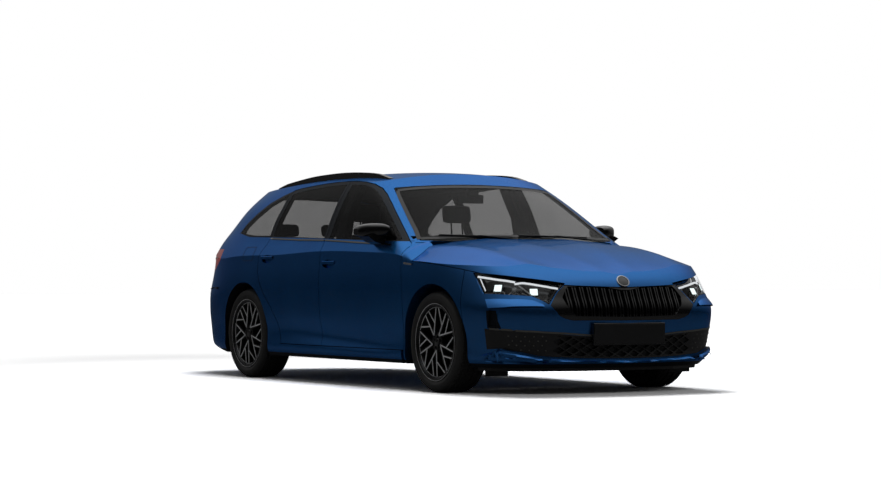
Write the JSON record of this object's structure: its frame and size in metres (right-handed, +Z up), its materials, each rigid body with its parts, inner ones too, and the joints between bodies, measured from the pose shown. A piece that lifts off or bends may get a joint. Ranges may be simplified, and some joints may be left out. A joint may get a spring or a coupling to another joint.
{
  "type": "station wagon",
  "caption": "Five-door family estate car with opening doors, bonnet and tailgate, steered front wheels, freely turning wheels and a hollow cabin.",
  "frame": {"origin": "on the ground under the middle of the car", "axes": "+Z up, nose towards -Y, +X towards the car's left side"},
  "size_m": [2.002, 4.6952, 1.4527],
  "materials": {
    "paint": "metallic gloss",
    "floor": "satin",
    "glass": "gloss",
    "black_gloss": "gloss",
    "black_plastic": "matt",
    "lamp": "gloss",
    "lamp_red": "gloss",
    "iron": "satin",
    "steel": "satin",
    "tyre": "matt",
    "rim": "gloss black with bright edges",
    "fabric": "woven",
    "leather": "satin"
  },
  "bodies": {
    "body": {"body_shell": "paint", "floor_pan": "floor", "front_wing_left": "paint", "front_wing_right": "paint", "front_bumper": "paint", "rear_bumper": "paint", "grille": "black_gloss", "lower_grille": "black_plastic", "headlamps": "lamp", "lamp_units": "black_gloss", "tail_lamps": "lamp_red", "windscreen": "glass", "quarter_glass": "glass", "roof_rails": "black_gloss", "engine_block": "iron", "exhaust": "steel", "rear_axle": "iron", "front_subframe": "iron", "front_seats": "fabric", "rear_seat": "fabric", "dashboard": "black_plastic"},
    "bonnet": {"bonnet": "paint"},
    "tailgate": {"tailgate": "paint", "tailgate_glass": "glass", "tailgate_lamps": "lamp_red"},
    "steering_wheel": {"steering_wheel": "leather"},
    "front_door_left": {"door_front_left": "paint", "glass_front_left": "glass", "mirror_left": "black_gloss"},
    "rear_door_left": {"door_rear_left": "paint", "glass_rear_left": "glass"},
    "knuckle_left": {"knuckle_left": "iron"},
    "front_wheel_left": {"tyre_front_left": "tyre", "rim_front_left": "rim"},
    "rear_wheel_left": {"tyre_rear_left": "tyre", "rim_rear_left": "rim"},
    "front_door_right": {"door_front_right": "paint", "glass_front_right": "glass", "mirror_right": "black_gloss"},
    "rear_door_right": {"door_rear_right": "paint", "glass_rear_right": "glass"},
    "knuckle_right": {"knuckle_right": "iron"},
    "front_wheel_right": {"tyre_front_right": "tyre", "rim_front_right": "rim"},
    "rear_wheel_right": {"tyre_rear_right": "tyre", "rim_rear_right": "rim"}
  },
  "joints": [
    {"name": "steer_left", "type": "hinge", "parent": "body", "child": "knuckle_left", "pos_m": [0.69, -1.464, 0.3185], "axis": [0, 0, 1], "range_deg": [-30, 30]},
    {"name": "front_wheel_left_spin", "type": "hinge", "parent": "knuckle_left", "child": "front_wheel_left", "pos_m": [0.7715, -1.464, 0.3185], "axis": [1, 0, 0], "continuous": true},
    {"name": "rear_wheel_left_spin", "type": "hinge", "parent": "body", "child": "rear_wheel_left", "pos_m": [0.7715, 1.222, 0.3185], "axis": [1, 0, 0], "continuous": true},
    {"name": "front_door_left_hinge", "type": "hinge", "parent": "body", "child": "front_door_left", "pos_m": [0.9025, -1.0875, 0.62], "axis": [0, 0, -1], "range_deg": [0, 65]},
    {"name": "rear_door_left_hinge", "type": "hinge", "parent": "body", "child": "rear_door_left", "pos_m": [0.9105, 0.049, 0.62], "axis": [0, 0, -1], "range_deg": [0, 65]},
    {"name": "steer_right", "type": "hinge", "parent": "body", "child": "knuckle_right", "pos_m": [-0.69, -1.464, 0.3185], "axis": [0, 0, 1], "range_deg": [-30, 30]},
    {"name": "front_wheel_right_spin", "type": "hinge", "parent": "knuckle_right", "child": "front_wheel_right", "pos_m": [-0.7715, -1.464, 0.3185], "axis": [1, 0, 0], "continuous": true},
    {"name": "rear_wheel_right_spin", "type": "hinge", "parent": "body", "child": "rear_wheel_right", "pos_m": [-0.7715, 1.222, 0.3185], "axis": [1, 0, 0], "continuous": true},
    {"name": "front_door_right_hinge", "type": "hinge", "parent": "body", "child": "front_door_right", "pos_m": [-0.9025, -1.0875, 0.62], "axis": [0, 0, 1], "range_deg": [0, 65]},
    {"name": "rear_door_right_hinge", "type": "hinge", "parent": "body", "child": "rear_door_right", "pos_m": [-0.9105, 0.049, 0.62], "axis": [0, 0, 1], "range_deg": [0, 65]},
    {"name": "bonnet_hinge", "type": "hinge", "parent": "body", "child": "bonnet", "pos_m": [0, -1.08, 0.955], "axis": [-1, 0, 0], "range_deg": [0, 50]},
    {"name": "tailgate_hinge", "type": "hinge", "parent": "body", "child": "tailgate", "pos_m": [0, 1.926, 1.362], "axis": [1, 0, 0], "range_deg": [0, 75]},
    {"name": "steering_wheel_turn", "type": "hinge", "parent": "body", "child": "steering_wheel", "pos_m": [0.37, -0.47, 0.86], "axis": [0, 0.9135, 0.4067], "range_deg": [-360, 360]}
  ],
  "couplings": [
    {"joint": "steer_right", "follows": "steer_left", "ratio": 1},
    {"joint": "steering_wheel_turn", "follows": "steer_left", "ratio": 12}
  ]
}
